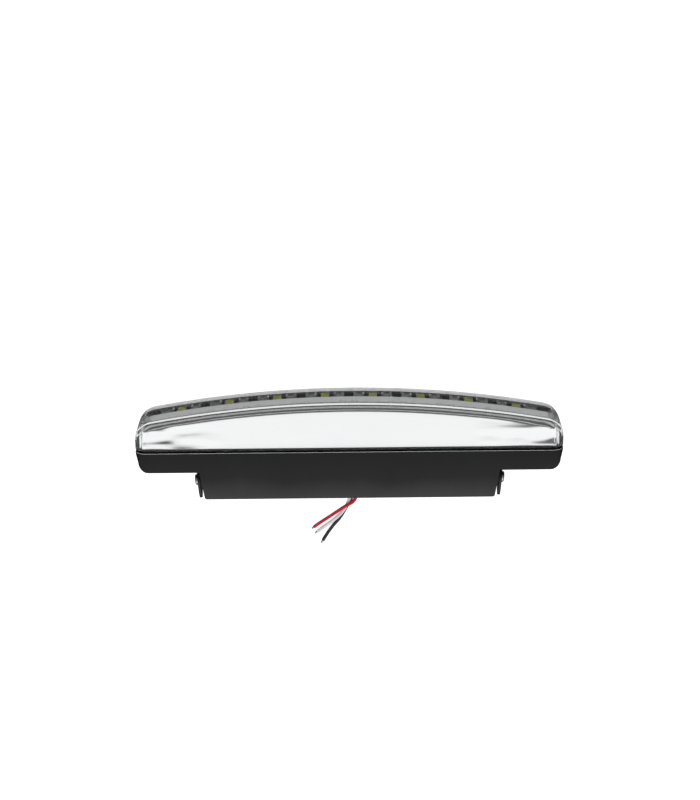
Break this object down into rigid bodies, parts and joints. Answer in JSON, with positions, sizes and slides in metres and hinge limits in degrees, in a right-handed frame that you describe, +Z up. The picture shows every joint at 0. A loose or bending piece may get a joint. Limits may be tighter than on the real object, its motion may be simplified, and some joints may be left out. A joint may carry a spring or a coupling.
{
  "type": "daytime running light",
  "caption": "Bar shaped daytime running light: clear bowed cover, chromed reflector with a row of LEDs, black housing, two side brackets and three short leads.",
  "frame": {"origin": "centre of the flat lower side, halfway along the lamp and halfway from the lens front to the ends of the brackets", "axes": "+X along the lamp, +Y from the lens towards the leads, +Z up from the flat lower side"},
  "size_m": [0.185, 0.0737, 0.022],
  "materials": {
    "clear_plastic": "clear, polished",
    "chromed_plastic": "vacuum metallised, polished",
    "board": "solder mask",
    "led_package": "yellow phosphor",
    "resistor": "ceramic chip",
    "black_package": "moulded",
    "black_plastic": "fine texture",
    "dark_steel": "oxidised",
    "bracket_paint": "satin black",
    "steel": "zinc plated",
    "rubber": "matte",
    "red_insulation": "soft sheen",
    "white_insulation": "soft sheen",
    "black_insulation": "soft sheen"
  },
  "bodies": {
    "root": {"lens_cover": "clear_plastic", "reflector": "chromed_plastic", "circuit_board": "board", "led_1": "led_package", "led_2": "led_package", "led_3": "led_package", "led_4": "led_package", "led_5": "led_package", "led_6": "led_package", "led_7": "led_package", "led_8": "led_package", "board_resistors": "resistor", "board_diode": "black_package", "housing": "black_plastic", "reflector_screw_left": "dark_steel", "reflector_screw_right": "dark_steel", "bracket_left": "bracket_paint", "bracket_right": "bracket_paint", "bracket_screw_left": "steel", "bracket_screw_right": "steel", "cable_grommet": "rubber", "wire_red": "red_insulation", "wire_white": "white_insulation", "wire_black": "black_insulation"}
  },
  "joints": []
}
